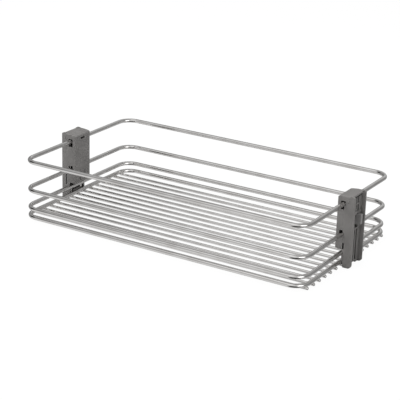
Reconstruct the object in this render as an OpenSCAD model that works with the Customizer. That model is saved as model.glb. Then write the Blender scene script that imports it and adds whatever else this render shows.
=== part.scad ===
// Pull-out cabinet basket: four chromed wire rails over a floor of parallel wires, held
// between two plastic end brackets that hook onto the uprights of a cabinet frame.
// +X runs along the basket, +Y towards its back, +Z up; the feet stand on Z = 0.

/* [Wire basket] */
// Length over the rails, along X
basket_length = 443; // [360:1:560]
// Width over the rails, along Y
basket_width = 254; // [220:1:320]
// Diameter of the rail wire
rail_dia = 6; // [5:0.25:7]
// Bend radius of the rail corners, on the wire's centre
corner_radius = 20; // [15:1:30]
// Height of the top rail above the bottom rail, centre to centre
top_rail_rise = 80.5; // [79:0.5:110]
// Height of the middle rail above the bottom rail
mid_rail_rise = 38.5; // [37:0.5:40]
// Height of the lower rail above the bottom rail
lower_rail_rise = 12; // [11:0.5:13]

/* [Floor wires] */
// Number of wires in the floor
floor_wire_count = 15; // [9:2:17]
// Distance of the outermost floor wires from the centre of the bottom rail's long sides
floor_margin = 13.4; // [8:0.1:16]
// Diameter of a floor wire
floor_wire_dia = 4; // [3:0.25:5]
// How far the floor wires reach past the outside of the bottom rail
floor_wire_overhang = 0.5; // [0:0.1:1]
// Height of the floor wires above the surface that the feet stand on
floor_clearance = 0.5; // [0.3:0.1:3]
// How far two welded wires sink into each other
weld_sink = 0.3; // [0.1:0.05:0.4]

/* [Uprights] */
// Diameter of the upright wires that are welded outside the rails
upright_dia = 5; // [4:0.25:5.5]
// How far an upright reaches past the centres of the top and bottom rails
upright_overhang = 2; // [1:0.5:3]

/* [Bracket carrier] */
// Width of an end bracket, along Y
bracket_width = 36; // [35:0.5:40]
// Thickness of the two side flanges
flange_wall = 3; // [2.6:0.1:3.5]
// Depth of the channel that takes the frame's upright
channel_depth = 6; // [5:0.25:7]
// Thickness of the ledges on both sides of the channel
ledge_wall = 2; // [1.5:0.1:3]
// Thickness of the bottom of the channel's middle groove
web_wall = 1.5; // [1.2:0.1:2]
// Thickness of the groove's side walls
groove_wall = 1.2; // [1:0.1:1.4]
// Distance from the rails' outer side to the back of the web
seat_depth = 1.5; // [1.2:0.1:2]
// How far the rail seats reach inwards past the rails' outer side
seat_grip = 1.6; // [1:0.1:2]
// Thickness of the seats above and below a rail
seat_wall = 1.8; // [1.4:0.1:2.2]
// Rounding of the outer vertical edges
edge_radius = 2; // [1:0.5:3]
// Rounding of the lower outer corners of the flanges
foot_radius = 5; // [2:0.5:6]
// Height of the ears beside the cover's cap
ear_height = 5.9; // [4:0.1:6.5]
// How far the ears stand above the cover's top
ear_rise = 0.3; // [0.1:0.1:1.5]
// Depth of the ears, along X
ear_depth = 7.2; // [5:0.1:8]
// Rounding of the ears' outer corners
ear_radius = 4; // [1:0.5:5]
// Width of a stiffening rib in the groove
rib_width = 2.4; // [1.6:0.1:2.8]
// Distance of the stiffening ribs from the bracket's middle plane
rib_offset = 2.4; // [2:0.1:3]
// Height of the bar across the channel
crossbar_height = 3.5; // [3:0.5:6]
// How far the bar across the channel stands out of the ledges
crossbar_reach = 0.5; // [0.3:0.1:3]
// Height of the sills across the groove, at its foot and below the catch
sill_height = 1.8; // [1.4:0.1:2.4]
// Height at which the web and the ledges end above the feet
web_lift = 0.4; // [0.2:0.1:2]
// Width of the prongs that stand behind the cover's slits
prong_width = 1.6; // [1.2:0.1:2]
// Distance of the prongs from the bracket's middle plane
prong_offset = 5.3; // [4.5:0.1:5.6]

/* [Bracket cover] */
// Gap between the rails' inner side and the cover's inner face
cover_standoff = 5.6; // [4:0.1:7]
// Thickness of the cover's walls
cover_wall = 1.8; // [1.5:0.1:2.2]
// Height of the cover's top above the top rail's centre
cap_rise = 11.3; // [10.5:0.1:13]
// Drop of the cover's top towards the basket
cap_drop = 1.9; // [0:0.1:2.4]
// Thickness of the cover's top
cap_wall = 2.2; // [1.6:0.1:2.6]
// How far the middle of the cover's top reaches out between the ears
cap_reach = 3.6; // [2:0.1:4]
// Rounding of the cover's upright corners
cover_corner = 1.5; // [0.5:0.1:1.8]
// Chamfer along the sides of the cover's top
cap_chamfer = 1.2; // [0.5:0.1:1.5]
// Width of the release slot in the cover's inner face
slot_width = 10; // [6:0.5:12]
// Height of the release slot
slot_height = 3; // [2.4:0.1:3.2]
// Thickness of the snap tabs on the cover's sides
tab_wall = 1.3; // [1:0.1:1.5]
// Width of the pads that press on the rails
pad_width = 5; // [3:0.5:6]
// Distance of those pads from the bracket's middle plane
pad_offset = 5.5; // [4:0.5:7]

/* [Catch] */
// Height of the catch's nose
nose_height = 14.5; // [12:0.5:16]
// Width of the catch's nose
nose_width = 5.6; // [5.4:0.1:6]
// Ramp on the nose's lower and upper edges
nose_ramp = 1; // [0.5:0.5:4]
// Height of the catch above the middle rail, centre to centre
catch_rise = 16.5; // [16.5:0.1:18]
// How far the catch can be pushed in, along X
catch_travel = 6; // [4:0.5:6]
// Free width of the catch's window beside the nose
window_side = 3.6; // [0.2:0.1:4]
// Thickness of the catch's stop shoulder
shoulder_wall = 2.2; // [1.5:0.1:2.6]
// How far the stop shoulder reaches past the nose, above, below and towards the middle
shoulder_lip = 1.4; // [1:0.1:1.5]
// Diameter of the catch spring's wire
spring_wire = 0.5; // [0.4:0.05:0.6]
// Outer diameter of the catch spring
spring_dia = 3.4; // [3.2:0.1:3.6]
// Number of curls of the catch spring
spring_curls = 14; // [8:1:15]

/* [Hidden] */
$fn = 48;

// Clearances between separate pieces
fit_gap = 0.3;
slide_gap = 0.2;
seat_gap = 0.1;
passage_gap = 0.4;
spring_gap = 0.1;
bore_gap = 0.3;
// How far one shape reaches into the next one of the same piece
root = 0.5;
arc_steps = 8;

rail_r = rail_dia / 2;
upright_r = upright_dia / 2;
floor_wire_r = floor_wire_dia / 2;

// Places along X, at the right end
rail_x = basket_length / 2 - rail_r;
rail_in_x = rail_x - rail_r;
rail_out_x = rail_x + rail_r;
upright_x = rail_out_x + upright_r - weld_sink;
ledge_back = upright_x + upright_r + fit_gap;
ledge_x = ledge_back + ledge_wall;
web_back = rail_out_x + seat_depth;
web_x = web_back + web_wall;
bracket_x = ledge_x + channel_depth;
cover_x = rail_in_x - cover_standoff;
cover_back = cover_x + cover_wall;
// The joint between cover and carrier on the sides towards -Y and towards +Y
joint_front = rail_x + 1;
joint_back = rail_x + 6;
skirt_x = rail_x + 1.5;
ear_x = bracket_x - ear_depth;
cap_x = ear_x - slide_gap;
cap_tip_x = cap_x + cap_reach;
cap_slope_x = rail_out_x;

// Places along Y
rail_y = basket_width / 2 - rail_r;
half_width = bracket_width / 2;
flange_y = half_width - flange_wall;
upright_y = flange_y - fit_gap - upright_r;
core_y = upright_y - upright_r - fit_gap;
groove_y = core_y - groove_wall;
cover_side_y = half_width - cover_wall;
outside_y = half_width + root;
nose_y = core_y - slide_gap - nose_width / 2;

// Heights
bottom_z = rail_r + floor_wire_dia - weld_sink + floor_clearance;
lower_z = bottom_z + lower_rail_rise;
mid_z = bottom_z + mid_rail_rise;
top_z = bottom_z + top_rail_rise;
floor_wire_z = bottom_z - rail_r - floor_wire_r + weld_sink;
seat_half = rail_r + seat_wall;
cover_foot_z = lower_z + rail_r + 3;
carrier_joint_z = cover_foot_z - slide_gap;
cap_z = top_z + cap_rise;
cap_inside_z = cap_z - cap_wall;
ear_z = cap_z + ear_rise;
flange_top_z = ear_z - ear_height;
skirt_z = flange_top_z + slide_gap;
web_top_z = cap_inside_z - 4;
nose_z = mid_z + catch_rise;
window_half = nose_height / 2 + slide_gap;
crossbar_z = nose_z + window_half + fit_gap;
crossbar_top_z = crossbar_z + crossbar_height;

// Sill and stiffening ribs below the catch's window, and ribs above the crossbar
sill_z = mid_z + seat_half - sill_height;
foot_sill_z = web_lift + 2.8;
guide_wall = 1.2;
lower_rib_z = [foot_sill_z + sill_height - root, sill_z + root];
upper_rib_z = [crossbar_z, web_top_z];
shelf_wall = 1.6;
shelf_z = (crossbar_top_z + web_top_z - shelf_wall) / 2;

// Notches in the cover's sides for the two upper rails, rounded at the top
notch_round = 2;
notch_x = [rail_in_x - 0.8, rail_out_x + passage_gap];
top_notch_z = [top_z - rail_r - 5, top_z + rail_r + 0.8];
mid_notch_z = [mid_z - rail_r - passage_gap, mid_z + rail_r + 2.6];

// Slots beside the joint of cover and carrier: [x, x], [z, z]
front_slot = [[joint_front + 0.8, joint_front + 3.1], [cover_foot_z, cover_foot_z + 9]];
back_slot = [[joint_back + 0.8, joint_back + 2.5], [cover_foot_z - 4, cover_foot_z + 12]];

// Prongs behind the cover's slits, and the tongue that reaches over the top rail
prong_z = [cover_foot_z + 4, mid_z - rail_r - 2.5];
prong_slit_z = [prong_z[0] - 2, prong_z[1] + 1];
snap_tip_x = cover_back + 3;
tongue_y = slot_width / 2 - passage_gap;
tongue_z = [top_z + rail_r + passage_gap, top_z + rail_r + 1.8];
slot_top_z = tongue_z[1] + slide_gap;

// Snap tabs of the cover: [x, x], [z, z]
front_tab = [[joint_front - root, joint_front + 6.5], [flange_top_z - 3.6, skirt_z]];
back_tab = [[joint_back - root, joint_back + 2.5], [flange_top_z - 2.8, skirt_z]];

// Catch
shoulder_front = web_back - slide_gap;
shoulder_back = shoulder_front - shoulder_wall;
spring_bore_r = spring_dia / 2 + bore_gap;
spring_bore_end = bracket_x - 3.5;
peg_length = 3;
peg_r = spring_dia / 2 - spring_wire - bore_gap;

// Spring: one unbroken helix of round wire along X
spring_rings = 8;
spring_sides = 6;
coil_r = (spring_dia - spring_wire) / 2;
spring_from = cover_back + spring_gap + spring_wire / 2;
spring_to = spring_bore_end - spring_gap - spring_wire / 2;
spring_pitch = (spring_to - spring_from) / spring_curls;
curl_length = 2 * PI * coil_r;
echo(least_spring_gap = spring_pitch * cos(atan(spring_pitch / curl_length)) - spring_wire);

function floor_wire_name(i) = str("floor_wire_", i < 10 ? "0" : "", i);
function floor_wire_y(i) = (rail_y - floor_margin) * (2 * (i - 1) / (floor_wire_count - 1) - 1);

function arc(x, y, r, from, to) =
    [for (i = [0:arc_steps]) let (a = from + (to - from) * i / arc_steps) [x + r * cos(a), y + r * sin(a)]];

module block(x, y, z) {
    translate([x[0], y[0], z[0]]) cube([x[1] - x[0], y[1] - y[0], z[1] - z[0]]);
}

module along_y(x, z, r, y) {
    translate([x, y[1], z]) rotate([90, 0, 0]) cylinder(r = r, h = y[1] - y[0]);
}

module along_x(y, z, r, x) {
    translate([x[0], y, z]) rotate([0, 90, 0]) cylinder(r = r, h = x[1] - x[0]);
}

// Outline in the XZ plane, extruded along Y
module side_profile(points, y) {
    translate([0, y[1], 0]) rotate([90, 0, 0]) linear_extrude(y[1] - y[0]) polygon(points);
}

// The same shape on both sides of the bracket's middle plane
module both_sides() {
    children();
    mirror([0, 1, 0]) children();
}

// ---- Wire basket ----

module wire_ring(z) {
    straight_x = rail_x - corner_radius;
    straight_y = rail_y - corner_radius;
    color("gainsboro") translate([0, 0, z]) union() {
        for (side = [-1, 1]) {
            along_x(side * rail_y, 0, rail_r, [-straight_x, straight_x]);
            along_y(side * rail_x, 0, rail_r, [-straight_y, straight_y]);
        }
        for (corner = [[1, 1, 0], [-1, 1, 90], [-1, -1, 180], [1, -1, 270]])
            translate([corner[0] * straight_x, corner[1] * straight_y, 0]) rotate([0, 0, corner[2]])
                rotate_extrude(angle = 90) translate([corner_radius, 0]) circle(r = rail_r);
    }
}

module top_rail() { wire_ring(top_z); }
module mid_rail() { wire_ring(mid_z); }
module lower_rail() { wire_ring(lower_z); }
module bottom_rail() { wire_ring(bottom_z); }

// A wire under the bottom rail; beside the corners its end follows the rail's bend
module floor_wire(i) {
    y = floor_wire_y(i);
    into_corner = max(0, abs(y) - (rail_y - corner_radius));
    outside = corner_radius + rail_r + floor_wire_overhang;
    reach = rail_x - corner_radius + sqrt(outside * outside - into_corner * into_corner);
    color("gainsboro") along_x(y, floor_wire_z, floor_wire_r, [-reach, reach]);
}

module upright(side) {
    foot = bottom_z - upright_overhang;
    color("silver") translate([upright_x, side * upright_y, foot])
        cylinder(r = upright_r, h = top_z + upright_overhang - foot);
}

// ---- Carrier: channel piece of an end bracket, outside the rails ----

// Outline seen from above, with the outer edges rounded
module carrier_plan() {
    corner = bracket_x - edge_radius;
    polygon(concat(
        [[joint_front, -half_width]],
        arc(corner, -half_width + edge_radius, edge_radius, -90, 0),
        arc(corner, half_width - edge_radius, edge_radius, 0, 90),
        [[joint_front, half_width]]));
}

// Outline seen from the side: rounded feet below, ears beside the cover's cap on top
module carrier_side() {
    side_profile(concat(
        [[joint_front, carrier_joint_z], [skirt_x, carrier_joint_z], [skirt_x, 0]],
        arc(bracket_x - foot_radius, foot_radius, foot_radius, -90, 0),
        arc(bracket_x - ear_radius, ear_z - ear_radius, ear_radius, 0, 90),
        [[ear_x, ear_z], [ear_x, flange_top_z], [joint_front, flange_top_z]]), [-half_width, half_width]);
}

module flanges() {
    above_joint = [carrier_joint_z, ear_z + root];
    difference() {
        intersection() {
            linear_extrude(ear_z) carrier_plan();
            carrier_side();
        }
        block([joint_front - root, bracket_x + root], [-flange_y, flange_y], [-root, ear_z + root]);
        block([joint_front - root, joint_front + slide_gap], [-outside_y, 0], above_joint);
        block([joint_front - root, joint_back + slide_gap], [0, outside_y], above_joint);
    }
}

// Web and walls of the channel's middle groove, with the ledges beside it
module core() {
    tall = [web_lift, web_top_z];
    block([web_back, web_x], [-core_y, core_y], tall);
    both_sides() {
        block([web_back, ledge_x], [groove_y, core_y], tall);
        block([ledge_back, ledge_x], [groove_y, flange_y], tall);
    }
}

module stiffeners() {
    both_sides()
        for (tall = [lower_rib_z, upper_rib_z])
            block([web_back, ledge_x], [rib_offset - rib_width / 2, rib_offset + rib_width / 2], tall);
    for (z = [foot_sill_z, sill_z])
        block([web_back, ledge_x], [-core_y, core_y], [z, z + sill_height]);
    block([web_back, ledge_x - root], [-core_y, core_y], [shelf_z, shelf_z + shelf_wall]);
    block([web_back, ledge_x + crossbar_reach], [-core_y, core_y], [crossbar_z, crossbar_top_z]);
    block([ledge_back, ledge_x + crossbar_reach], [-flange_y, flange_y], [crossbar_z, crossbar_top_z]);
}

module rail_seats() {
    for (z = [bottom_z, lower_z, mid_z, top_z])
        block([rail_out_x - seat_grip, web_back], [-core_y, core_y], [z - seat_half, z + seat_half]);
}

module cover_snaps() {
    half = prong_width / 2;
    both_sides()
        block([snap_tip_x, web_back], [prong_offset - half, prong_offset + half], prong_z);
    block([snap_tip_x, web_back], [-tongue_y, tongue_y], tongue_z);
}

// Floor that closes the bracket under the cover, clear of the uprights
module bracket_floor() {
    tall = [lower_z + seat_half - root, carrier_joint_z];
    block([cover_back + fit_gap, web_back], [-core_y, core_y], tall);
    block([cover_back + fit_gap, upright_x - upright_r - fit_gap], [-flange_y - root, flange_y + root], tall);
}

// Wall that guides the catch's shoulder, behind the web
module catch_guide() {
    inner_y = nose_y - nose_width / 2 - shoulder_lip - fit_gap;
    half = window_half + shoulder_lip;
    block([shoulder_back - catch_travel, web_back + root], [inner_y - guide_wall, inner_y],
        [nose_z - half, nose_z + half]);
}

// Room for the rails: close in the seats, wider in the flanges
module rail_passages() {
    for (z = [bottom_z, lower_z, mid_z, top_z])
        along_y(rail_x, z, rail_r + seat_gap, [-core_y - root, core_y + root]);
    both_sides()
        for (z = [bottom_z, lower_z, mid_z, top_z])
            along_y(rail_x, z, rail_r + slide_gap, [flange_y - root, outside_y]);
}

module floor_wire_slots() {
    half = floor_wire_r + fit_gap;
    for (i = [1:floor_wire_count])
        if (abs(floor_wire_y(i)) < half_width + half)
            block([rail_x - root, rail_out_x + floor_wire_overhang + fit_gap],
                [floor_wire_y(i) - half, floor_wire_y(i) + half], [-root, floor_wire_z + half]);
}

module catch_window() {
    block([web_back - root, ledge_x + root], [nose_y - nose_width / 2 - window_side, core_y],
        [nose_z - window_half, nose_z + window_half]);
}

// Tab of the cover, or with a gap the recess for it in the carrier
module tab(shape, gap = 0) {
    block([shape[0][0], shape[0][1] + gap], [half_width - tab_wall - gap, half_width + gap],
        [shape[1][0] - gap, shape[1][1] + gap]);
}

module carrier() {
    color("dimgray") difference() {
        union() {
            flanges();
            core();
            rail_seats();
            stiffeners();
            cover_snaps();
            bracket_floor();
            catch_guide();
        }
        rail_passages();
        floor_wire_slots();
        catch_window();
        mirror([0, 1, 0]) block(front_slot[0], [flange_y - root, outside_y], front_slot[1]);
        block(back_slot[0], [flange_y - root, outside_y], back_slot[1]);
        mirror([0, 1, 0]) tab(front_tab, passage_gap);
        tab(back_tab, passage_gap);
    }
}

// ---- Cover: shell of an end bracket, inside the rails ----

// Top of the cover, lower towards the basket and chamfered along its sides
module cap() {
    crest = cap_z - cap_chamfer;
    tip = half_width - cap_chamfer;
    between_ears = flange_y - slide_gap;
    tall = [skirt_z, cap_z];
    intersection() {
        union() {
            block([cover_x, cap_x], [-half_width, half_width], tall);
            block([cap_x - root, cap_tip_x], [-between_ears, between_ears], tall);
        }
        side_profile([[cover_x, skirt_z], [cap_tip_x, skirt_z], [cap_tip_x, cap_z], [cap_slope_x, cap_z],
            [cover_x + cap_chamfer, cap_z - cap_drop], [cover_x, cap_z - cap_drop - cap_chamfer]],
            [-half_width, half_width]);
        rotate([90, 0, 90]) linear_extrude(bracket_x) polygon([[-half_width, 0], [half_width, 0],
            [half_width, crest], [tip, cap_z], [-tip, cap_z], [-half_width, crest]]);
    }
}

// Room under the cap, open outwards, with the same slope as the top
module cap_hollow() {
    low = skirt_z - root;
    side_profile([[cover_back, low], [cap_tip_x + root, low], [cap_tip_x + root, cap_inside_z],
        [cap_slope_x, cap_inside_z], [cover_back, cap_inside_z - cap_drop]], [-cover_side_y, cover_side_y]);
}

module cover_shell() {
    tall = [cover_foot_z, skirt_z + root];
    block([cover_x, cover_back], [-half_width, half_width], tall);
    block([cover_x, joint_back], [cover_side_y, half_width], tall);
    block([cover_x, joint_front], [-half_width, -cover_side_y], tall);
    difference() {
        cap();
        cap_hollow();
    }
}

module rail_pads() {
    half = pad_width / 2;
    both_sides()
        for (z = [mid_z, top_z])
            block([cover_back - root, rail_in_x - slide_gap], [pad_offset - half, pad_offset + half],
                [z - rail_r, z + rail_r]);
}

// Outline seen from above, with the two inner upright corners rounded
module cover_plan() {
    corner = cover_x + cover_corner;
    polygon(concat(
        arc(corner, half_width - cover_corner, cover_corner, 90, 180),
        arc(corner, -half_width + cover_corner, cover_corner, 180, 270),
        [[bracket_x, -half_width], [bracket_x, half_width]]));
}

// Notch in both sides of the cover, for a rail
module notches(tall) {
    top = tall[1] - notch_round;
    both_sides()
        side_profile(concat([[notch_x[0], tall[0]], [notch_x[1], tall[0]]],
            arc(notch_x[1] - notch_round, top, notch_round, 0, 90),
            arc(notch_x[0] + notch_round, top, notch_round, 90, 180)), [cover_side_y - root, outside_y]);
}

module cover_openings() {
    through = [cover_x - root, cover_back + root];
    half_slit = prong_width / 2 + slide_gap;
    both_sides()
        block(through, [prong_offset - half_slit, prong_offset + half_slit], prong_slit_z);
    notches(top_notch_z);
    notches(mid_notch_z);
    block(through, [-slot_width / 2, slot_width / 2], [slot_top_z - slot_height, slot_top_z]);
}

module cover() {
    color("gray") difference() {
        union() {
            intersection() {
                cover_shell();
                linear_extrude(cap_z) cover_plan();
            }
            rail_pads();
            along_x(nose_y, nose_z, peg_r, [cover_back - root, cover_back + peg_length]);
            mirror([0, 1, 0]) tab(front_tab);
            tab(back_tab);
        }
        cover_openings();
    }
}

// ---- Catch and its spring ----

module catch_block() {
    low = nose_z - nose_height / 2;
    high = nose_z + nose_height / 2;
    half = nose_width / 2;
    color("slategray") difference() {
        union() {
            side_profile([[shoulder_back, low], [bracket_x - nose_ramp, low], [bracket_x, low + nose_ramp],
                [bracket_x, high - nose_ramp], [bracket_x - nose_ramp, high], [shoulder_back, high]],
                [nose_y - half, nose_y + half]);
            block([shoulder_back, shoulder_front], [nose_y - half - shoulder_lip, nose_y + half],
                [low - shoulder_lip, high + shoulder_lip]);
        }
        along_x(nose_y, nose_z, spring_bore_r, [shoulder_back - root, spring_bore_end]);
    }
}

function coil_ring(t) = let (
    outward = [0, cos(360 * t), sin(360 * t)],
    along = [spring_pitch, -curl_length * sin(360 * t), curl_length * cos(360 * t)],
    across = cross(along / norm(along), outward),
    centre = [spring_from + spring_pitch * t, 0, 0] + coil_r * outward)
    [for (k = [0:spring_sides - 1]) let (a = 360 * k / spring_sides)
        centre + spring_wire / 2 * (cos(a) * outward + sin(a) * across)];

module catch_spring() {
    last = spring_curls * spring_rings;
    points = [for (i = [0:last]) each coil_ring(i / spring_rings)];
    sides = [for (i = [0:last - 1]) for (k = [0:spring_sides - 1]) let (
        a = i * spring_sides + k, b = i * spring_sides + (k + 1) % spring_sides)
        each [[a, a + spring_sides, b], [b, a + spring_sides, b + spring_sides]]];
    end = last * spring_sides;
    caps = [for (k = [1:spring_sides - 2]) each [[0, k, k + 1], [end, end + k + 1, end + k]]];
    color("lightsteelblue") translate([0, nose_y, nose_z])
        polyhedron(points = points, faces = concat(sides, caps));
}

// Both brackets are the same pieces, one set turned half round
module left_end() { rotate([0, 0, 180]) children(); }

top_rail();
mid_rail();
lower_rail();
bottom_rail();
for (i = [1:floor_wire_count])
    floor_wire(i);
upright(-1);  // right_front_upright
upright(1);  // right_back_upright
left_end() upright(1);  // left_front_upright
left_end() upright(-1);  // left_back_upright
carrier();  // right_carrier
cover();  // right_cover
catch_block();  // right_catch
catch_spring();  // right_catch_spring
left_end() carrier();  // left_carrier
left_end() cover();  // left_cover
left_end() catch_block();  // left_catch
left_end() catch_spring();  // left_catch_spring
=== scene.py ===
import math

import bmesh
import bpy
from mathutils import Matrix, Vector


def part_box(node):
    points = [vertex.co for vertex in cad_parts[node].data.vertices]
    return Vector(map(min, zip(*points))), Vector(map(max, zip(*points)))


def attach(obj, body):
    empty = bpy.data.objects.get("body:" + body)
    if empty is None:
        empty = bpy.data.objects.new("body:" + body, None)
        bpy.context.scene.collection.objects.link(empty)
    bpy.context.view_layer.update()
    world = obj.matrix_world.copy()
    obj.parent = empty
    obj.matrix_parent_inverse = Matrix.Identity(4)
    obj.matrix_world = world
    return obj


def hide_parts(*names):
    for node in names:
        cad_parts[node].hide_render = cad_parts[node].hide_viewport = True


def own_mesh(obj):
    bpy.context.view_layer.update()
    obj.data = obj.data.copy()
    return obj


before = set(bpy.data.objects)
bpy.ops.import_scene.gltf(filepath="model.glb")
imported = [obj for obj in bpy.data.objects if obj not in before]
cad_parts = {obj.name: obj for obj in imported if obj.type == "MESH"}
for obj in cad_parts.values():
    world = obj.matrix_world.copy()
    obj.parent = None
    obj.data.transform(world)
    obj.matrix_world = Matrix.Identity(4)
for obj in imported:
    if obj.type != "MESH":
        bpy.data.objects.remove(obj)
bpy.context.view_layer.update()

print("frame loaded")

mm = 0.001
scene = bpy.context.scene

# The camera, fitted to the photograph
view = {
    "yaw": 31.227,  # degrees, turned towards the basket's left end
    "pitch": 20.101,
    "roll": -1.694,
    "place": (917.2, -1525.2, 690.6),  # mm
    "focalPixels": 1368.1,
    "pixels": 400,
    "centreOffset": 0.5,  # pixels that the lens axis lies right of and below the picture's centre
    "sensorWidth": 36,  # mm
    "nearest": 50,  # mm from the lens at which the view begins
}


def makeCamera(settings):
    yaw, pitch, roll = (math.radians(settings[k]) for k in ("yaw", "pitch", "roll"))
    forward = Vector((-math.sin(yaw) * math.cos(pitch), math.cos(yaw) * math.cos(pitch), -math.sin(pitch)))
    right = Vector((math.cos(yaw), math.sin(yaw), 0))
    down = forward.cross(right)
    turnedRight = math.cos(roll) * right + math.sin(roll) * down
    turnedDown = math.cos(roll) * down - math.sin(roll) * right
    data = bpy.data.cameras.new("studioCamera")
    data.sensor_width = settings["sensorWidth"]
    data.lens = settings["focalPixels"] / settings["pixels"] * data.sensor_width
    data.shift_x = -settings["centreOffset"] / settings["pixels"]
    data.shift_y = settings["centreOffset"] / settings["pixels"]
    data.clip_start = settings["nearest"] * mm
    camera = bpy.data.objects.new("studioCamera", data)
    axes = Matrix((turnedRight, -turnedDown, -forward)).transposed().to_4x4()
    camera.matrix_world = Matrix.Translation(Vector(settings["place"]) * mm) @ axes
    scene.collection.objects.link(camera)
    scene.camera = camera


makeCamera(view)
print("camera made")

socketKinds = {
    "numbers": "NodeSocketFloat",
    "counts": "NodeSocketInt",
    "vectors": "NodeSocketVector",
    "shapes": "NodeSocketGeometry",
    "materials": "NodeSocketMaterial",
}


# A node for any kind of tree. Each input takes a plain value or another node's output
def addNode(tree, kind, place, inputs=None, **options):
    node = tree.nodes.new(kind)
    node.location = place
    for name, value in options.items():
        setattr(node, name, value)
    for label, value in (inputs or {}).items():
        if hasattr(value, "links"):
            tree.links.new(value, node.inputs[label])
        else:
            node.inputs[label].default_value = value
    return node


# The same for a node of which only the first output is used
def placeNode(tree, kind, place, inputs=None, **options):
    return addNode(tree, kind, place, inputs, **options).outputs[0]


def maths(tree, operation, *values, place=(-900, -400)):
    return placeNode(tree, "ShaderNodeMath", place, dict(enumerate(values)), operation=operation)


# Names the inputs that a tree or group takes, and gives them to the nodes inside
def nameInputs(tree, place, **labels):
    for kind, names in labels.items():
        for name in names:
            tree.interface.new_socket(name, in_out="INPUT", socket_type=socketKinds[kind])
    return addNode(tree, "NodeGroupInput", place).outputs


def newGroup(name, **labels):
    group = bpy.data.node_groups.new(name, "ShaderNodeTree")
    return group, nameInputs(group, (-800, 0), **labels)


def finishGroup(group, masks):
    for name in masks:
        group.interface.new_socket(name, in_out="OUTPUT", socket_type=socketKinds["numbers"])
    addNode(group, "NodeGroupOutput", (800, 0), masks)
    return group


def placeGroup(tree, group, place, inputs):
    return addNode(tree, "ShaderNodeGroup", place, inputs, node_tree=group).outputs


# From 0 at the first limit to 1 at the last, with a soft start and end
def ease(tree, value, limits, place):
    first, last = limits
    return placeNode(tree, "ShaderNodeMapRange", place, {
        "Value": value, "From Min": first, "From Max": last}, interpolation_type="SMOOTHSTEP")


def mixNumbers(tree, factor, low, high, place):
    return placeNode(tree, "ShaderNodeMapRange", place, {"Value": factor, "To Min": low, "To Max": high})


def mixColours(tree, factor, first, second, place):
    first, second = (colour if hasattr(colour, "links") else (*colour, 1) for colour in (first, second))
    mix = addNode(tree, "ShaderNodeMix", place, {0: factor, 6: first, 7: second}, data_type="RGBA")
    return mix.outputs[2]


def mixShaders(tree, factor, first, second, place):
    return placeNode(tree, "ShaderNodeMixShader", place, {0: factor, 1: first, 2: second})


handlingMarks = {
    "patchLimits": (0.35, 0.7),  # noise at which a patch begins and is full
    "patchDetail": 4,
    "speckLimits": (0.62, 0.8),
    "speckDetail": 1,
    "speckFineness": 40,  # how much smaller specks are than patches
}


# Masks of the soft patches that handling leaves and of specks of dust
def makeHandling(settings):
    group, given = newGroup("handling", vectors=["Vector"], numbers=["Patch Size", "Seed"])
    coarse = maths(group, "DIVIDE", 1, given["Patch Size"], place=(-600, -200))
    fine = maths(group, "MULTIPLY", coarse, settings["speckFineness"], place=(-600, -400))
    patches = placeNode(group, "ShaderNodeTexNoise", (-300, 100), {
        "Vector": given["Vector"], "W": given["Seed"], "Scale": coarse,
        "Detail": settings["patchDetail"]}, noise_dimensions="4D")
    specks = placeNode(group, "ShaderNodeTexNoise", (-300, -200), {
        "Vector": given["Vector"], "Scale": fine, "Detail": settings["speckDetail"]})
    return finishGroup(group, {
        "Patches": ease(group, patches, settings["patchLimits"], (0, 100)),
        "Specks": ease(group, specks, settings["speckLimits"], (0, -200))})


surfaceGrain = {
    "detail": 2,
    "roughness": 0.6,
}


# Fine spark-eroded grain of a moulding tool, or the faint draw marks of wire when stretched
def makeGrain(settings):
    group, given = newGroup("grain", vectors=["Vector", "Stretch"], numbers=["Grain Size"])
    stretched = placeNode(group, "ShaderNodeVectorMath", (-500, 0), {
        0: given["Vector"], 1: given["Stretch"]}, operation="MULTIPLY")
    fineness = maths(group, "DIVIDE", 1, given["Grain Size"], place=(-500, -200))
    height = placeNode(group, "ShaderNodeTexNoise", (-200, 0), {
        "Vector": stretched, "Scale": fineness,
        "Detail": settings["detail"], "Roughness": settings["roughness"]})
    return finishGroup(group, {"Height": height})


# How the painted edge highlight and the painted shade in grooves and corners are masked
highlightAndShadeMasks = {
    "samples": 4,
    "highlightLimits": (1, 0.85),  # likeness of a face's normal to the rounded one: 1 away from edges, less along the edges where a highlight is painted
    "unshadedLimits": (0.1, 0.8),  # share of open space around a spot: little in grooves and corners, where shade is painted
}


# Masks of a painted highlight along a moulding's rounded edges, and of the open surface that painted shade in
# grooves and corners leaves alone
def makeHighlightAndShade(settings):
    group, given = newGroup("highlightAndShade", numbers=["Edge Width", "Shade Reach"])
    rounded = placeNode(group, "ShaderNodeBevel", (-600, 300), {
        "Radius": given["Edge Width"]}, samples=settings["samples"])
    surface = addNode(group, "ShaderNodeNewGeometry", (-600, 100)).outputs
    likeness = addNode(group, "ShaderNodeVectorMath", (-300, 200), {
        0: rounded, 1: surface["Normal"]}, operation="DOT_PRODUCT").outputs["Value"]
    openness = addNode(group, "ShaderNodeAmbientOcclusion", (-300, -100), {
        "Distance": given["Shade Reach"]}, samples=settings["samples"]).outputs["AO"]
    return finishGroup(group, {
        "Highlight": ease(group, likeness, settings["highlightLimits"], (0, 200)),
        "Unshaded": ease(group, openness, settings["unshadedLimits"], (0, -100))})


handlingGroup = makeHandling(handlingMarks)
grainGroup = makeGrain(surfaceGrain)
highlightAndShadeGroup = makeHighlightAndShade(highlightAndShadeMasks)


def newMaterial(name):
    material = bpy.data.materials.new(name)
    material.use_nodes = True
    material.node_tree.nodes.clear()
    return material, material.node_tree


def addShader(tree, inputs):
    shader = placeNode(tree, "ShaderNodeBsdfPrincipled", (600, 0), inputs)
    addNode(tree, "ShaderNodeOutputMaterial", (900, 0), {"Surface": shader})


def addBump(tree, height, strength, distance):
    return placeNode(tree, "ShaderNodeBump", (300, -300), {
        "Height": height, "Strength": strength, "Distance": distance})


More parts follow.
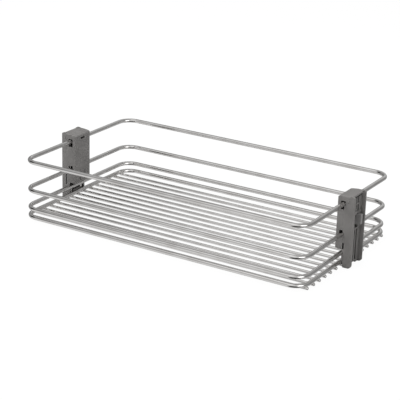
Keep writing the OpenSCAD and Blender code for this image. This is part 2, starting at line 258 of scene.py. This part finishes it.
chromePlate = {
    "colour": (0.79, 0.78, 0.77),
    "stain": (0.69, 0.675, 0.66),
    "roughness": (0.04, 0.09),  # clean, handled
    "patchSize": 20 * mm,
    "markSize": 0.7 * mm,
    "markStrength": 0.006,
    "markDepth": 0.2 * mm,
}


def makeChrome(name, stretch, settings=chromePlate):
    material, tree = newMaterial(name)
    onPiece = addNode(tree, "ShaderNodeTexCoord", (-900, 0)).outputs["Object"]
    handling = placeGroup(tree, handlingGroup, (-600, 200), {
        "Vector": onPiece, "Patch Size": settings["patchSize"]})
    marks = placeGroup(tree, grainGroup, (-600, -200), {
        "Vector": onPiece, "Grain Size": settings["markSize"], "Stretch": stretch})
    addShader(tree, {
        "Base Color": mixColours(tree, handling["Patches"], settings["colour"], settings["stain"], (0, 200)),
        "Roughness": mixNumbers(tree, handling["Patches"], *settings["roughness"], (0, 0)),
        "Normal": addBump(tree, marks["Height"], settings["markStrength"], settings["markDepth"]),
        "Metallic": 1})
    return material


satinPlastic = {
    "colour": (0.168, 0.162, 0.157),
    "faded": (0.198, 0.191, 0.185),
    "edge": (0.346, 0.337, 0.329),  # painted highlight along the edges, and the colour of dust
    "edgeWidth": 0.5 * mm,
    "paintedShade": (0.055, 0.053, 0.051),  # painted shade, darker in grooves and corners
    "paintedShadeReach": 7 * mm,
    "dustShare": 0.35,
    "roughness": (0.42, 0.52),  # clean, handled
    "gloss": 0.45,  # specular level
    "patchSize": 18 * mm,
    "grainSize": 0.35 * mm,
    "grainStrength": 0.25,
    "grainDepth": 0.1 * mm,
}


def makePlastic(name, seed, settings):
    material, tree = newMaterial(name)
    onPiece = addNode(tree, "ShaderNodeTexCoord", (-900, 0)).outputs["Object"]
    handling = placeGroup(tree, handlingGroup, (-600, 200), {
        "Vector": onPiece, "Patch Size": settings["patchSize"], "Seed": seed})
    grain = placeGroup(tree, grainGroup, (-600, -200), {
        "Vector": onPiece, "Grain Size": settings["grainSize"], "Stretch": (1, 1, 1)})
    highlightAndShade = placeGroup(tree, highlightAndShadeGroup, (-600, 500), {
        "Edge Width": settings["edgeWidth"], "Shade Reach": settings["paintedShadeReach"]})
    body = mixColours(tree, handling["Patches"], settings["colour"], settings["faded"], (-200, 300))
    # Painted highlight along the rounded edges, then painted shade in grooves and corners
    highlighted = mixColours(tree, highlightAndShade["Highlight"], body, settings["edge"], (0, 300))
    shaded = mixColours(tree, highlightAndShade["Unshaded"], settings["paintedShade"], highlighted, (200, 300))
    dust = maths(tree, "MULTIPLY", handling["Specks"], settings["dustShare"], place=(0, 0))
    addShader(tree, {
        "Base Color": mixColours(tree, dust, shaded, settings["edge"], (400, 200)),
        "Roughness": mixNumbers(tree, handling["Patches"], *settings["roughness"], (200, 0)),
        "Normal": addBump(tree, grain["Height"], settings["grainStrength"], settings["grainDepth"]),
        "Specular IOR Level": settings["gloss"]})
    return material


springSteel = dict(
    chromePlate, colour=(0.56, 0.56, 0.57), stain=(0.4, 0.4, 0.41), roughness=(0.2, 0.32))
smoothPlastic = dict(
    satinPlastic, colour=(0.205, 0.2, 0.197), faded=(0.235, 0.23, 0.226), roughness=(0.3, 0.4),
    grainStrength=0.1)

# A straight wire has draw marks along its own axis, where the stretch is small
railChrome = makeChrome("railChrome", (1, 1, 1))
floorChrome = makeChrome("floorChrome", (0.05, 1, 1))
uprightChrome = makeChrome("uprightChrome", (1, 1, 0.05))
springWire = makeChrome("springWire", (1, 1, 1), springSteel)
carrierPlastic = makePlastic("carrierPlastic", 1.0, satinPlastic)
coverPlastic = makePlastic("coverPlastic", 4.0, satinPlastic)
catchPlastic = makePlastic("catchPlastic", 7.0, smoothPlastic)
print("materials made")


def newTree(name, **labels):
    tree = bpy.data.node_groups.new(name, "GeometryNodeTree")
    given = nameInputs(tree, (-1400, 0), shapes=["Geometry"], materials=["Material"], **labels)
    tree.interface.new_socket("Mesh", in_out="OUTPUT", socket_type=socketKinds["shapes"])
    return tree, given


def vectorOf(tree, **parts):
    return placeNode(tree, "ShaderNodeCombineXYZ", (-700, -200), parts)


def roundSection(tree, place, sides, radius):
    return placeNode(tree, "GeometryNodeCurvePrimitiveCircle", place, {
        "Resolution": sides, "Radius": radius}, mode="RADIUS")


# Every tree ends the same way: real faces, smooth, in the piece's own material
def finishTree(tree, given, shape):
    whole = placeNode(tree, "GeometryNodeRealizeInstances", (500, 0), {"Geometry": shape})
    smooth = placeNode(tree, "GeometryNodeSetShadeSmooth", (700, 0), {"Geometry": whole})
    dressed = placeNode(tree, "GeometryNodeSetMaterial", (900, 0), {
        "Geometry": smooth, "Material": given["Material"]})
    addNode(tree, "NodeGroupOutput", (1100, 0), {"Mesh": dressed})
    return tree


# The modifiers' result becomes the piece's own plain mesh
def keepResult(piece):
    graph = bpy.context.evaluated_depsgraph_get()
    result = bpy.data.meshes.new_from_object(
        piece.evaluated_get(graph), preserve_all_data_layers=True, depsgraph=graph)
    piece.modifiers.clear()
    piece.data = result
    return piece


def growMesh(name, tree, values):
    piece = bpy.data.objects.new(name, bpy.data.meshes.new(name))
    scene.collection.objects.link(piece)
    grower = piece.modifiers.new(tree.name, "NODES")
    grower.node_group = tree
    names = {item.name: item.identifier for item in tree.interface.items_tree if item.in_out == "INPUT"}
    for label, value in values.items():
        grower[names[label]] = value
    return keepResult(piece)


def linkMesh(name, shape):
    data = bpy.data.meshes.new(name)
    shape.to_mesh(data)
    shape.free()
    piece = bpy.data.objects.new(name, data)
    scene.collection.objects.link(piece)
    return piece


def finishPiece(piece, material, body, slotName, *nodes):
    piece.data.materials.clear()
    piece.data.materials.append(material)
    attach(piece, body)
    if nodes:
        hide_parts(*nodes)


railShape = {
    "bendRadius": 20 * mm,
    "bendSteps": 20,
    "sides": 28,
}


# A closed ring of round wire with four equal bends
def makeRailTree():
    tree, given = newTree(
        "bentRail", numbers=["Length", "Width", "Height", "Bend Radius", "Wire Radius"],
        counts=["Bend Steps", "Sides"])
    outline = placeNode(tree, "GeometryNodeCurvePrimitiveQuadrilateral", (-600, 200), {
        "Width": given["Length"], "Height": given["Width"]}, mode="RECTANGLE")
    bent = placeNode(tree, "GeometryNodeFilletCurve", (-400, 200), {
        "Curve": outline, "Count": given["Bend Steps"], "Radius": given["Bend Radius"]}, mode="POLY")
    section = roundSection(tree, (-400, -200), given["Sides"], given["Wire Radius"])
    swept = placeNode(tree, "GeometryNodeCurveToMesh", (-200, 0), {"Curve": bent, "Profile Curve": section})
    raised = placeNode(tree, "GeometryNodeTransform", (0, 0), {
        "Geometry": swept, "Translation": vectorOf(tree, Z=given["Height"])})
    return finishTree(tree, given, raised)


railTree = makeRailTree()
for rail in ("top_rail", "mid_rail", "lower_rail", "bottom_rail"):
    low, high = (Vector(corner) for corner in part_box(rail))
    wireDia = high.z - low.z
    piece = growMesh(rail + "Wire", railTree, {
        "Length": high.x - low.x - wireDia, "Width": high.y - low.y - wireDia, "Height": (high.z + low.z) / 2,
        "Bend Radius": railShape["bendRadius"], "Bend Steps": railShape["bendSteps"],
        "Wire Radius": wireDia / 2, "Sides": railShape["sides"], "Material": railChrome})
    finishPiece(piece, railChrome, "basket", "rail_chrome", rail)
print("rails made")

floorShape = {
    "sides": 20,
    "endRounding": 1.1 * mm,
    "endSteps": 4,
}
weldShape = {
    "reachX": 2.3 * mm,  # how far a weld spreads along a floor wire and along the rail
    "reachY": 2.5 * mm,
    "reachZ": 0.85 * mm,
    "subdivisions": 3,
}
rowNumbers = ["Outermost", "Height", "Straight X", "Straight Y", "Bend"]


# One point for each floor wire, in a row along Y
def makeRow(tree, given):
    gaps = maths(tree, "SUBTRACT", given["Count"], 1.0)
    pitch = maths(tree, "DIVIDE", maths(tree, "MULTIPLY", given["Outermost"], 2.0), gaps)
    first = vectorOf(tree, Y=maths(tree, "MULTIPLY", given["Outermost"], -1.0), Z=given["Height"])
    return placeNode(tree, "GeometryNodeMeshLine", (-500, 300), {
        "Count": given["Count"], "Start Location": first, "Offset": vectorOf(tree, Y=pitch)}, mode="OFFSET")


# Half the length at a wire's own Y: straight, and shorter beside the rail's bends
def reachAtY(tree, given):
    place = placeNode(tree, "GeometryNodeInputPosition", (-1200, -500))
    split = addNode(tree, "ShaderNodeSeparateXYZ", (-1050, -500), {"Vector": place}).outputs
    beyond = maths(tree, "SUBTRACT", maths(tree, "ABSOLUTE", split["Y"]), given["Straight Y"])
    into = maths(tree, "MAXIMUM", beyond, 0.0)
    chord = maths(tree, "SUBTRACT", maths(tree, "POWER", given["Bend"], 2.0), maths(tree, "POWER", into, 2.0))
    return maths(tree, "ADD", given["Straight X"], maths(tree, "SQRT", chord))


# A row of straight wires with softly rounded ends
def makeFloorTree():
    tree, given = newTree(
        "floorWires", numbers=rowNumbers + ["Wire Radius", "End Rounding"],
        counts=["Count", "End Steps", "Sides"])
    longest = maths(tree, "ADD", given["Straight X"], given["Bend"])
    number = placeNode(tree, "GeometryNodeInputIndex", (-1200, -800))
    last = maths(tree, "ADD", maths(tree, "MULTIPLY", given["End Steps"], 2.0), 1.0)
    fromEnd = maths(tree, "MINIMUM", number, maths(tree, "SUBTRACT", last, number))
    turn = maths(tree, "MULTIPLY", maths(tree, "DIVIDE", fromEnd, given["End Steps"]), math.pi / 2)
    side = maths(tree, "SIGN", maths(tree, "SUBTRACT", number, maths(tree, "DIVIDE", last, 2.0)))
    back, thinner = (
        maths(tree, "MULTIPLY", given["End Rounding"], maths(tree, "SUBTRACT", 1.0, maths(tree, curve, turn)))
        for curve in ("COSINE", "SINE"))
    axis = placeNode(tree, "GeometryNodeMeshLine", (-700, 0), {
        "Count": maths(tree, "ADD", last, 1.0)}, mode="OFFSET")
    spread = placeNode(tree, "GeometryNodeSetPosition", (-500, 0), {
        "Geometry": axis,
        "Position": vectorOf(tree, X=maths(tree, "MULTIPLY", side, maths(tree, "SUBTRACT", longest, back)))})
    line = placeNode(tree, "GeometryNodeMeshToCurve", (-350, 0), {"Mesh": spread})
    section = roundSection(tree, (-200, -200), given["Sides"], 1.0)
    wire = placeNode(tree, "GeometryNodeCurveToMesh", (0, 0), {
        "Curve": line, "Profile Curve": section, "Fill Caps": True,
        "Scale": maths(tree, "SUBTRACT", given["Wire Radius"], thinner)})
    share = maths(tree, "DIVIDE", reachAtY(tree, given), longest)
    row = placeNode(tree, "GeometryNodeInstanceOnPoints", (250, 100), {
        "Points": makeRow(tree, given), "Instance": wire, "Scale": vectorOf(tree, X=share, Y=1.0, Z=1.0)})
    return finishTree(tree, given, row)


# A flat bead of weld metal wherever a floor wire crosses the bottom rail
def makeWeldTree():
    tree, given = newTree(
        "weldBeads", numbers=rowNumbers, vectors=["Spread"], counts=["Count", "Subdivisions"])
    crossing = placeNode(tree, "GeometryNodeSetPosition", (-300, 300), {
        "Geometry": makeRow(tree, given), "Offset": vectorOf(tree, X=reachAtY(tree, given))})
    mirrored = placeNode(tree, "GeometryNodeTransform", (-100, 450), {
        "Geometry": crossing, "Scale": vectorOf(tree, X=-1.0, Y=1.0, Z=1.0)})
    both = addNode(tree, "GeometryNodeJoinGeometry", (50, 300))
    for crossings in (crossing, mirrored):
        tree.links.new(crossings, both.inputs[0])
    bead = placeNode(tree, "GeometryNodeMeshIcoSphere", (50, 0), {
        "Radius": 1.0, "Subdivisions": given["Subdivisions"]})
    beads = placeNode(tree, "GeometryNodeInstanceOnPoints", (250, 100), {
        "Points": both.outputs[0], "Instance": bead, "Scale": given["Spread"]})
    return finishTree(tree, given, beads)


railLow, railHigh = (Vector(corner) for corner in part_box("bottom_rail"))
railDia = railHigh.z - railLow.z
railHalf = (railHigh - railLow) / 2
floorNodes = sorted(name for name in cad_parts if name.startswith("floor_wire_"))
low, high = (Vector(corner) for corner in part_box(floorNodes[len(floorNodes) // 2]))
outermost = Vector(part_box(floorNodes[-1])[1])
wireRadius = (high.z - low.z) / 2
rowValues = {
    "Count": len(floorNodes),
    "Outermost": outermost.y - wireRadius,
    "Straight X": railHalf.x - railDia / 2 - railShape["bendRadius"],
    "Straight Y": railHalf.y - railDia / 2 - railShape["bendRadius"],
}
floorRow = growMesh("floorWireRow", makeFloorTree(), {
    **rowValues, "Height": (high.z + low.z) / 2, "Bend": high.x - rowValues["Straight X"],
    "Wire Radius": wireRadius, "End Rounding": floorShape["endRounding"], "End Steps": floorShape["endSteps"],
    "Sides": floorShape["sides"], "Material": floorChrome})
finishPiece(floorRow, floorChrome, "basket", "floor_chrome", *floorNodes)
welds = growMesh("floorWelds", makeWeldTree(), {
    **rowValues, "Height": (railHigh.z + railLow.z) / 2 - railDia / 2, "Bend": railShape["bendRadius"],
    "Spread": [weldShape[key] for key in ("reachX", "reachY", "reachZ")],
    "Subdivisions": weldShape["subdivisions"], "Material": floorChrome})
finishPiece(welds, floorChrome, "basket", "floor_chrome")
print("floor wires and welds made")

# The uprights keep the CAD mesh, because the brackets hide them
for name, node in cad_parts.items():
    if name.endswith("_upright"):
        node.data.materials.clear()
        node.data.materials.append(uprightChrome)

bracketEdges = {
    "width": 0.25 * mm,
    "segments": 2,
    "sharpFrom": 30,  # degrees
    "roundFrom": 1,
    "widestFacet": 3 * mm,
    "squareFrom": 0.9999,  # greatest part of a normal from which its face doesn't slant
    "sameSpot": 0.001 * mm,  # within which corners become one
    "sameFlat": 0.5,  # degrees, within which faces become one
}


# A facet of a rounding is narrow, slants and meets the next one at a small angle; all other faces are flat
def isRound(face, settings):
    low, high = (math.radians(settings[key]) for key in ("roundFrom", "sharpFrom"))
    slants = max(abs(part) for part in face.normal) < settings["squareFrom"]
    width = face.calc_area() / max(edge.calc_length() for edge in face.edges)
    meets = any(low < edge.calc_face_angle(0) < high for edge in face.edges)
    return slants and meets and width < settings["widestFacet"]


def softenedCopy(node, pieceName, settings):
    shape = bmesh.new()
    shape.from_mesh(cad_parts[node].data)
    bmesh.ops.remove_doubles(shape, verts=shape.verts, dist=settings["sameSpot"])
    bmesh.ops.dissolve_limit(
        shape, angle_limit=math.radians(settings["sameFlat"]), verts=shape.verts, edges=shape.edges)
    for face in shape.faces:
        face.smooth = isRound(face, settings)
    piece = linkMesh(pieceName, shape)
    bevel = piece.modifiers.new("softEdges", "BEVEL")
    bevel.width = settings["width"]
    bevel.segments = settings["segments"]
    bevel.limit_method = "ANGLE"
    bevel.angle_limit = math.radians(settings["sharpFrom"])
    piece.modifiers.new("flatFaces", "WEIGHTED_NORMAL").keep_sharp = True
    return keepResult(piece)


for end in ("right", "left"):
    carrier = softenedCopy(end + "_carrier", end + "CarrierMoulding", bracketEdges)
    finishPiece(carrier, carrierPlastic, "basket", "carrier_plastic", end + "_carrier")
    cover = softenedCopy(end + "_cover", end + "CoverMoulding", bracketEdges)
    finishPiece(cover, coverPlastic, "basket", "cover_plastic", end + "_cover")
    catch = softenedCopy(end + "_catch", end + "CatchBlock", bracketEdges)
    finishPiece(catch, catchPlastic, end + "_catch", "catch_plastic", end + "_catch")
print("brackets made")

catchSpring = {
    "curls": 14.0,
    "stepsPerCurl": 24,
    "wire": 0.5 * mm,
    "sides": 8,
    "travel": 6 * mm,  # as far as the catch slides
}


# A helix of round wire along X
def makeSpringTree():
    tree, given = newTree(
        "coil", numbers=["Length", "Radius", "Curls", "Wire Radius"], counts=["Steps", "Sides"],
        vectors=["Start"])
    helix = placeNode(tree, "GeometryNodeCurveSpiral", (-600, 100), {
        "Resolution": given["Steps"], "Rotations": given["Curls"], "Start Radius": given["Radius"],
        "End Radius": given["Radius"], "Height": given["Length"]})
    section = roundSection(tree, (-600, -200), given["Sides"], given["Wire Radius"])
    swept = placeNode(tree, "GeometryNodeCurveToMesh", (-400, 0), {
        "Curve": helix, "Profile Curve": section, "Fill Caps": True})
    lying = placeNode(tree, "GeometryNodeTransform", (-100, 0), {
        "Geometry": swept, "Rotation": (0, math.pi / 2, 0), "Translation": given["Start"]})
    return finishTree(tree, given, lying)


springTree = makeSpringTree()
for end in ("right", "left"):
    low, high = (Vector(corner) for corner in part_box(end + "_catch_spring"))
    middle, length, wire = (low + high) / 2, high.x - low.x, catchSpring["wire"]
    coil = growMesh(end + "CatchSpring", springTree, {
        "Length": length - wire, "Radius": (high.z - low.z - wire) / 2, "Curls": catchSpring["curls"],
        "Steps": catchSpring["stepsPerCurl"], "Wire Radius": wire / 2, "Sides": catchSpring["sides"],
        "Start": (low.x + wire / 2, middle.y, middle.z), "Material": springWire})
    finishPiece(coil, springWire, "basket", "spring_steel", end + "_catch_spring")
    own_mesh(coil)
print("springs made")


# Share of a round patch in a direction, fading out at its edge
def makePatchMask():
    group, given = newGroup("patchMask", vectors=["Vector", "Middle"], numbers=["Outside", "Inside"])
    aim = placeNode(group, "ShaderNodeVectorMath", (-400, -100), {
        "Vector": given["Middle"]}, operation="NORMALIZE")
    nearness = addNode(group, "ShaderNodeVectorMath", (-200, 0), {
        0: given["Vector"], 1: aim}, operation="DOT_PRODUCT").outputs["Value"]
    return finishGroup(group, {"Share": ease(group, nearness, (given["Outside"], given["Inside"]), (100, 0))})


patchMask = makePatchMask()


def addPatch(tree, direction, middle, edges):
    outside, inside = (math.cos(math.radians(angle)) for angle in edges)
    return placeGroup(tree, patchMask, (-300, -400), {
        "Vector": direction, "Middle": middle, "Outside": outside, "Inside": inside})["Share"]


# White with a little shadow to the camera, and to the chrome a grey that is darker towards the horizon
studioFloor = {
    "size": 6.0,
    "drop": 0.2 * mm,
    "colour": (0.86, 0.86, 0.86),
    "white": 1.03,
    "shadowShare": 0.08,  # how much of the floor's own shading the camera sees
    "mirroredGrazing": (0.12, 0.24),  # how steeply the chrome looks at the floor, and the floor's grey there
    "mirroredSteep": (0.62, 0.55),
    "mirroredPatches": (  # direction, degrees from there at which it begins and is full, grey
        ((-0.5, -0.6, -0.62), (45, 22), 0.78),
        ((0.25, -0.68, -0.69), (40, 22), 0.02),
    ),
}


def makeFloor(settings):
    half, drop = settings["size"] / 2, settings["drop"]
    shape = bmesh.new()
    corners = ((-half, -half), (half, -half), (half, half), (-half, half))
    shape.faces.new([shape.verts.new((x, y, -drop)) for x, y in corners])
    floor = linkMesh("studioFloor", shape)
    material, tree = newMaterial("studioFloor")
    matte = placeNode(tree, "ShaderNodeBsdfDiffuse", (0, 100), {"Color": (*settings["colour"], 1)})
    white = placeNode(tree, "ShaderNodeEmission", (0, -100), {"Strength": settings["white"]})
    arriving = addNode(tree, "ShaderNodeNewGeometry", (-900, -300)).outputs["Incoming"]
    steepness = addNode(tree, "ShaderNodeSeparateXYZ", (-700, -300), {"Vector": arriving}).outputs["Z"]
    (grazing, greyThere), (steep, greyBelow) = settings["mirroredGrazing"], settings["mirroredSteep"]
    grey = placeNode(tree, "ShaderNodeMapRange", (-500, -300), {
        "Value": steepness, "From Min": grazing, "From Max": steep, "To Min": greyThere, "To Max": greyBelow})
    towards = placeNode(tree, "ShaderNodeVectorMath", (-700, -500), {
        "Vector": arriving, "Scale": -1}, operation="SCALE")
    for middle, edges, level in settings["mirroredPatches"]:
        grey = mixNumbers(tree, addPatch(tree, towards, middle, edges), grey, level, (-150, -400))
    mirrored = placeNode(tree, "ShaderNodeEmission", (0, -250), {"Strength": grey})
    seen = addNode(tree, "ShaderNodeLightPath", (-400, 200)).outputs
    share = maths(tree, "MULTIPLY", seen["Is Camera Ray"], 1 - settings["shadowShare"], place=(-100, 300))
    shown = mixShaders(tree, share, matte, white, (300, 0))
    whole = mixShaders(tree, seen["Is Glossy Ray"], shown, mirrored, (600, 0))
    addNode(tree, "ShaderNodeOutputMaterial", (900, 0), {"Surface": whole})
    floor.data.materials.append(material)


# In W and m. All three point at the same spot in the basket
lamps = {
    "keyLamp": {"power": 15.5, "place": (-0.9, -1.1, 1.5), "size": (2.2, 1.4)},
    "fillLamp": {"power": 4.5, "place": (1.1, -1.4, 0.8), "size": (1.2, 1.2)},
    "topLamp": {"power": 10, "place": (0.1, 0.0, 1.6), "size": (1.0, 0.8)},
}
lampTarget = Vector((0, 0, 0.05))


def makeLamp(name, settings):
    data = bpy.data.lights.new(name, "AREA")
    data.energy = settings["power"]
    data.shape = "RECTANGLE"
    data.size, data.size_y = settings["size"]
    lamp = bpy.data.objects.new(name, data)
    lamp.location = settings["place"]
    lamp.rotation_euler = (lampTarget - Vector(settings["place"])).to_track_quat("-Z", "Y").to_euler()
    lamp.visible_glossy = False  # the chrome sees the room's patches instead
    scene.collection.objects.link(lamp)


# What lights the plastic softly, what the chrome sees around it, and white behind the picture
roomWalls = {
    "diffuse": 0.57,
    "stops": (  # height from bottom to top, grey
        (0.0, 0.3), (0.5, 0.24), (0.6, 0.26), (0.68, 0.3), (0.79, 0.39), (0.88, 0.42), (1.0, 0.5)),
    "patches": (  # direction, degrees from there at which it begins and is full, grey
        ((0.3, -1, 0.1), (64, 20), 0.8),
        ((-0.05, 0.95, 0.35), (30, 14), 0.45),
        ((-0.28, 0.83, 0.48), (15, 5), 0.66),
        ((-0.22, -0.42, 0.88), (28, 9), 1.05),
        ((0.87, -0.44, 0.2), (26, 10), 3.0),
        ((-0.85, -0.4, 0.35), (27, 13), 0.02),
    ),
}


def makeRoom(settings):
    world = bpy.data.worlds.new("studioRoom")
    scene.world = world
    world.use_nodes = True
    tree = world.node_tree
    tree.nodes.clear()
    direction = addNode(tree, "ShaderNodeTexCoord", (-900, 0)).outputs["Generated"]
    upward = addNode(tree, "ShaderNodeSeparateXYZ", (-700, 0), {"Vector": direction}).outputs["Z"]
    height = placeNode(tree, "ShaderNodeMapRange", (-500, 0), {"Value": upward, "From Min": -1})
    ramp = addNode(tree, "ShaderNodeValToRGB", (-300, 0), {"Fac": height})
    stops = ramp.color_ramp.elements
    stops.remove(stops[1])  # which leaves one to begin with
    for n, (share, level) in enumerate(settings["stops"]):
        stop = stops.new(share) if n else stops[0]
        stop.position = share
        stop.color = (level, level, level, 1)
    walls = ramp.outputs["Color"]
    for middle, edges, grey in settings["patches"]:
        walls = mixColours(tree, addPatch(tree, direction, middle, edges), walls, (grey,) * 3, (0, 0))
    soft = placeNode(tree, "ShaderNodeBackground", (200, 200), {
        "Color": (1, 1, 1, 1), "Strength": settings["diffuse"]})
    mirrored = placeNode(tree, "ShaderNodeBackground", (200, 0), {"Color": walls})
    white = placeNode(tree, "ShaderNodeBackground", (200, -200), {"Color": (1, 1, 1, 1)})
    seen = addNode(tree, "ShaderNodeLightPath", (-200, 400)).outputs
    around = mixShaders(tree, seen["Is Glossy Ray"], soft, mirrored, (450, 100))
    whole = mixShaders(tree, seen["Is Camera Ray"], around, white, (700, 0))
    addNode(tree, "ShaderNodeOutputWorld", (900, 0), {"Surface": whole})


makeFloor(studioFloor)
for name, settings in lamps.items():
    makeLamp(name, settings)
makeRoom(roomWalls)
scene.view_settings.view_transform = "Standard"
print("studio made")
